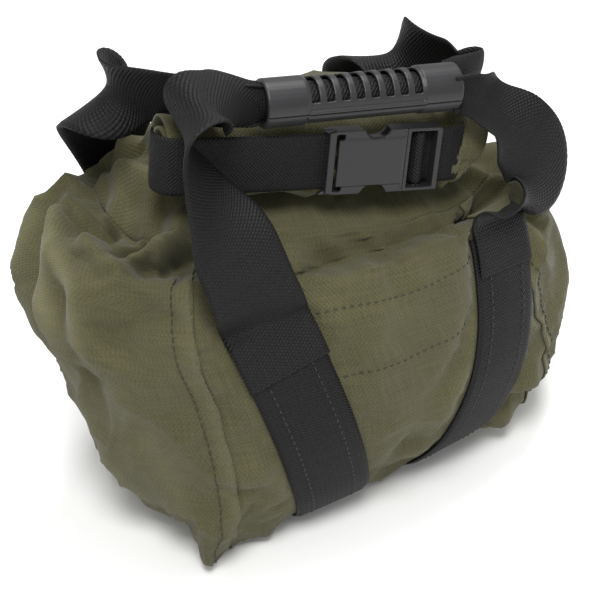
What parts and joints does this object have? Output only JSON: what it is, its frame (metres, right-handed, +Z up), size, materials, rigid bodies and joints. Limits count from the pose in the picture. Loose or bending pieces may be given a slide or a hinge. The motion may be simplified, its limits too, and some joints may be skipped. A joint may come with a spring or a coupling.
{
  "type": "sandbag",
  "caption": "Roll-top canvas sandbag with two body straps that rise into handle loops joined by a slotted wrap grip, and a buckled band round the roll.",
  "frame": {"origin": "centre of the base of the whole object's box, on the surface it stands on", "axes": "+Z up, the front with the buckle towards -Y, +X to the right along the front"},
  "size_m": [0.3396, 0.2042, 0.2989],
  "materials": {
    "canvas": "olive drab cotton canvas, plain weave",
    "webbing": "black polypropylene webbing",
    "plastic": "satin moulded dark grey",
    "liner": "polyethylene film",
    "stiffener": "polyethylene strip",
    "sand": "dry play sand"
  },
  "bodies": {
    "bag": {"front_panel": "canvas", "back_panel": "canvas", "left_end_panel": "canvas", "right_end_panel": "canvas", "base_panel": "canvas", "mouth_neck": "canvas", "rolled_mouth": "canvas", "mouth_wing": "canvas", "mouth_stiffener": "stiffener", "liner_bag": "liner", "liner_tie": "stiffener", "sand_fill": "sand", "belly_strap_left": "webbing", "belly_strap_right": "webbing", "handle_loop_front_left": "webbing", "handle_loop_back_left": "webbing", "handle_loop_front_right": "webbing", "handle_loop_back_right": "webbing", "buckle_housing": "plastic", "buckle_frame": "plastic", "roll_band_left": "webbing", "roll_band_right": "webbing", "roll_band_buckle_turn": "webbing"},
    "handle": {"grip_lower_shell": "plastic", "grip_webbing_front": "webbing", "grip_webbing_back": "webbing"},
    "grip_cover": {"grip_upper_shell": "plastic"},
    "arm_upper": {"release_arm_upper": "plastic"},
    "arm_lower": {"release_arm_lower": "plastic"}
  },
  "joints": [
    {"name": "handle_lift", "type": "slide", "parent": "bag", "child": "handle", "axis": [0, 0, 1], "range_m": [0, 0.05], "deforming": ["handle_loop_front_left", "handle_loop_back_left", "handle_loop_front_right", "handle_loop_back_right"]},
    {"name": "grip_cover_hinge", "type": "hinge", "parent": "handle", "child": "grip_cover", "pos_m": [0.0067, -0.02571, 0.26086], "axis": [-0.9803, 0.1729, 0.0959], "range_deg": [0, 100]},
    {"name": "release_arm_upper_squeeze", "type": "hinge", "parent": "bag", "child": "arm_upper", "pos_m": [0.0184, -0.04889, 0.23767], "axis": [-0.1784, -0.9742, 0.1378], "range_deg": [0, 6], "stiffness_Nm_per_rad": 0.2},
    {"name": "release_arm_lower_squeeze", "type": "hinge", "parent": "bag", "child": "arm_lower", "pos_m": [0.01449, -0.05151, 0.21413], "axis": [0.1784, 0.9742, -0.1378], "range_deg": [0, 6], "stiffness_Nm_per_rad": 0.2}
  ]
}
